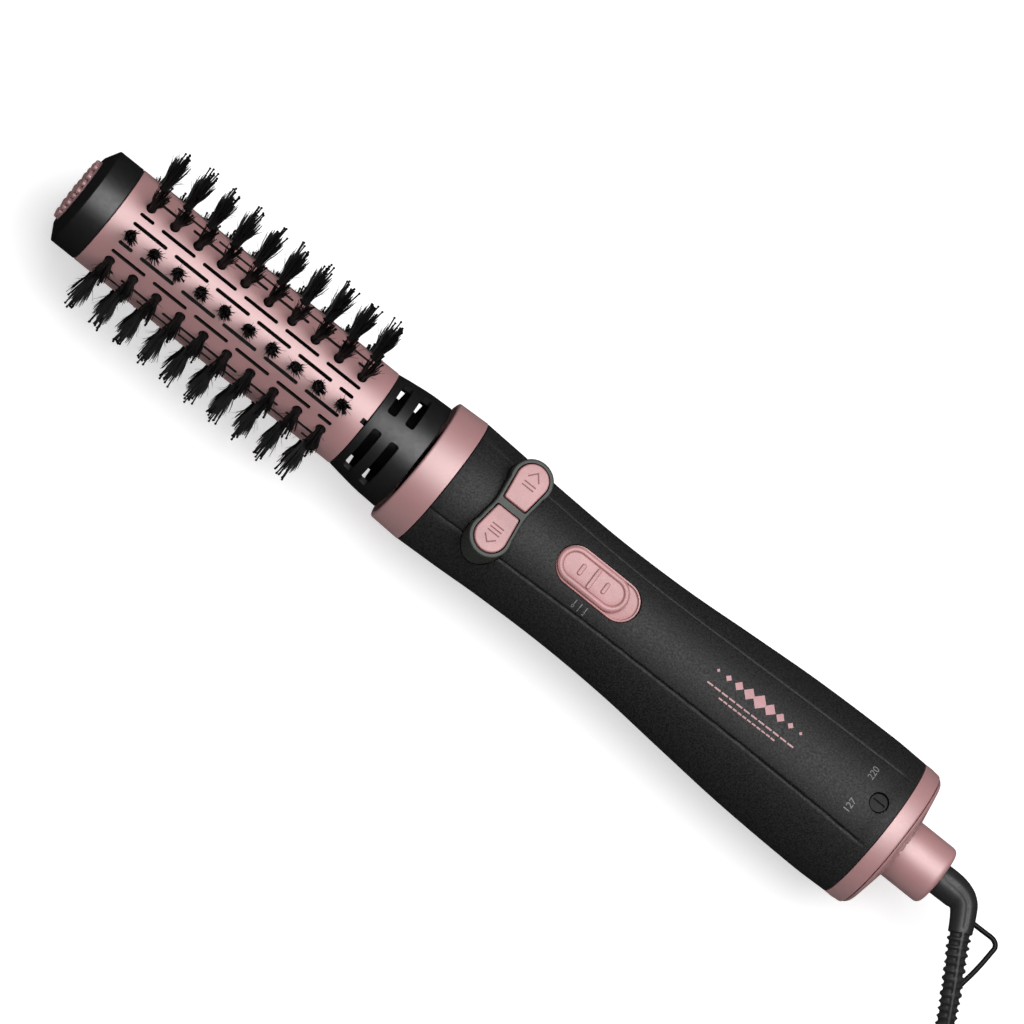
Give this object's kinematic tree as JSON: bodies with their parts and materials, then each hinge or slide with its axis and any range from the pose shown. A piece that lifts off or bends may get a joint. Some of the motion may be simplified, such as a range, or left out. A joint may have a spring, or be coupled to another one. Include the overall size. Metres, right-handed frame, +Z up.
{
  "type": "hot air brush",
  "caption": "Round rotating hot air styling brush with bristle tufts on a slotted metal barrel, a waisted handle with buttons and a slider, and a swivelling coiled cord.",
  "frame": {"origin": "centre of the brush's outline at the height of the surface it lies on; the cord is not counted", "axes": "+X along the brush towards its tip, +Z up through the control panel"},
  "size_m": [0.4906, 0.1195, 0.0638],
  "materials": {
    "rose_metal": "satin",
    "gloss_black": "gloss",
    "soft_touch": "matte",
    "bezel": "satin",
    "bristle": "matte",
    "inner_plastic": "matte",
    "steel": "satin",
    "mica": "matte",
    "circuit_board": "satin",
    "brass": "satin",
    "cord_rubber": "matte"
  },
  "bodies": {
    "handle": {"upper_shell": "soft_touch", "lower_shell": "soft_touch", "shell_screw": "steel", "front_ring": "rose_metal", "bearing_plate": "inner_plastic", "front_bearing": "brass", "rear_ring": "rose_metal", "intake_grille": "rose_metal", "swivel_collar": "rose_metal", "button_bezel": "bezel", "button_board": "circuit_board", "tact_switch_1": "inner_plastic", "tact_switch_2": "inner_plastic", "slider_tray": "rose_metal", "slide_switch": "inner_plastic", "circuit_board": "circuit_board", "voltage_switch": "inner_plastic", "ion_module": "inner_plastic", "heater_former": "mica", "heater_coil": "steel", "heater_sleeve": "mica", "thermostat": "inner_plastic", "drive_motor": "steel", "gearbox_housing": "inner_plastic", "fan_motor": "steel", "fan_shroud": "inner_plastic"},
    "brush_head": {"barrel": "rose_metal", "bristle_row_01": "bristle", "bristle_row_02": "bristle", "bristle_row_03": "bristle", "bristle_row_04": "bristle", "bristle_row_05": "bristle", "bristle_row_06": "bristle", "bristle_row_07": "bristle", "bristle_row_08": "bristle", "bristle_row_09": "bristle", "bristle_row_10": "bristle", "tip_cap": "gloss_black", "tip_insert": "rose_metal", "neck_shell": "gloss_black", "neck_duct": "inner_plastic", "head_hub": "inner_plastic", "drive_shaft": "steel", "planet_carrier": "steel"},
    "drive_rotor": {"sun_gear": "steel"},
    "planet_1": {"planet_gear_1": "inner_plastic"},
    "planet_2": {"planet_gear_2": "inner_plastic"},
    "planet_3": {"planet_gear_3": "inner_plastic"},
    "fan_rotor": {"impeller": "inner_plastic"},
    "forward_key": {"forward_button": "rose_metal"},
    "reverse_key": {"reverse_button": "rose_metal"},
    "power_slider": {"slider_knob": "rose_metal"},
    "voltage_selector": {"voltage_dial": "gloss_black"},
    "cord_swivel": {"cord_boot": "cord_rubber", "hang_loop": "gloss_black", "cord": "cord_rubber", "cord_coil": "cord_rubber", "plug": "gloss_black", "plug_pin_1": "brass", "plug_pin_2": "brass"}
  },
  "joints": [
    {"name": "head_spin", "type": "hinge", "parent": "handle", "child": "brush_head", "pos_m": [0.0314, 0, 0.03191], "axis": [1, 0, 0], "continuous": true},
    {"name": "sun_spin", "type": "hinge", "parent": "handle", "child": "drive_rotor", "pos_m": [-0.0196, 0, 0.03191], "axis": [1, 0, 0], "continuous": true},
    {"name": "fan_spin", "type": "hinge", "parent": "handle", "child": "fan_rotor", "pos_m": [-0.1216, 0, 0.03191], "axis": [1, 0, 0], "continuous": true},
    {"name": "planet_1_spin", "type": "hinge", "parent": "brush_head", "child": "planet_1", "pos_m": [-0.0196, 0, 0.03791], "axis": [1, 0, 0], "continuous": true},
    {"name": "planet_2_spin", "type": "hinge", "parent": "brush_head", "child": "planet_2", "pos_m": [-0.0196, -0.0052, 0.02891], "axis": [1, 0, 0], "continuous": true},
    {"name": "planet_3_spin", "type": "hinge", "parent": "brush_head", "child": "planet_3", "pos_m": [-0.0196, 0.0052, 0.02891], "axis": [1, 0, 0], "continuous": true},
    {"name": "forward_press", "type": "slide", "parent": "handle", "child": "forward_key", "axis": [0, 0, -1], "range_m": [0, 0.001], "stiffness_N_per_m": 800},
    {"name": "reverse_press", "type": "slide", "parent": "handle", "child": "reverse_key", "axis": [0, 0, -1], "range_m": [0, 0.001], "stiffness_N_per_m": 800},
    {"name": "power_slide", "type": "slide", "parent": "handle", "child": "power_slider", "axis": [-1, 0, 0], "range_m": [0, 0.0042]},
    {"name": "voltage_turn", "type": "hinge", "parent": "handle", "child": "voltage_selector", "pos_m": [-0.14, 0, 0.05731], "axis": [0, 0, 1], "range_deg": [0, 90]},
    {"name": "cord_turn", "type": "hinge", "parent": "handle", "child": "cord_swivel", "pos_m": [-0.1721, 0, 0.03191], "axis": [1, 0, 0], "continuous": true}
  ],
  "couplings": [
    {"joint": "sun_spin", "follows": "head_spin", "ratio": 4},
    {"joint": "planet_1_spin", "follows": "head_spin", "ratio": -3},
    {"joint": "planet_2_spin", "follows": "head_spin", "ratio": -3},
    {"joint": "planet_3_spin", "follows": "head_spin", "ratio": -3}
  ]
}
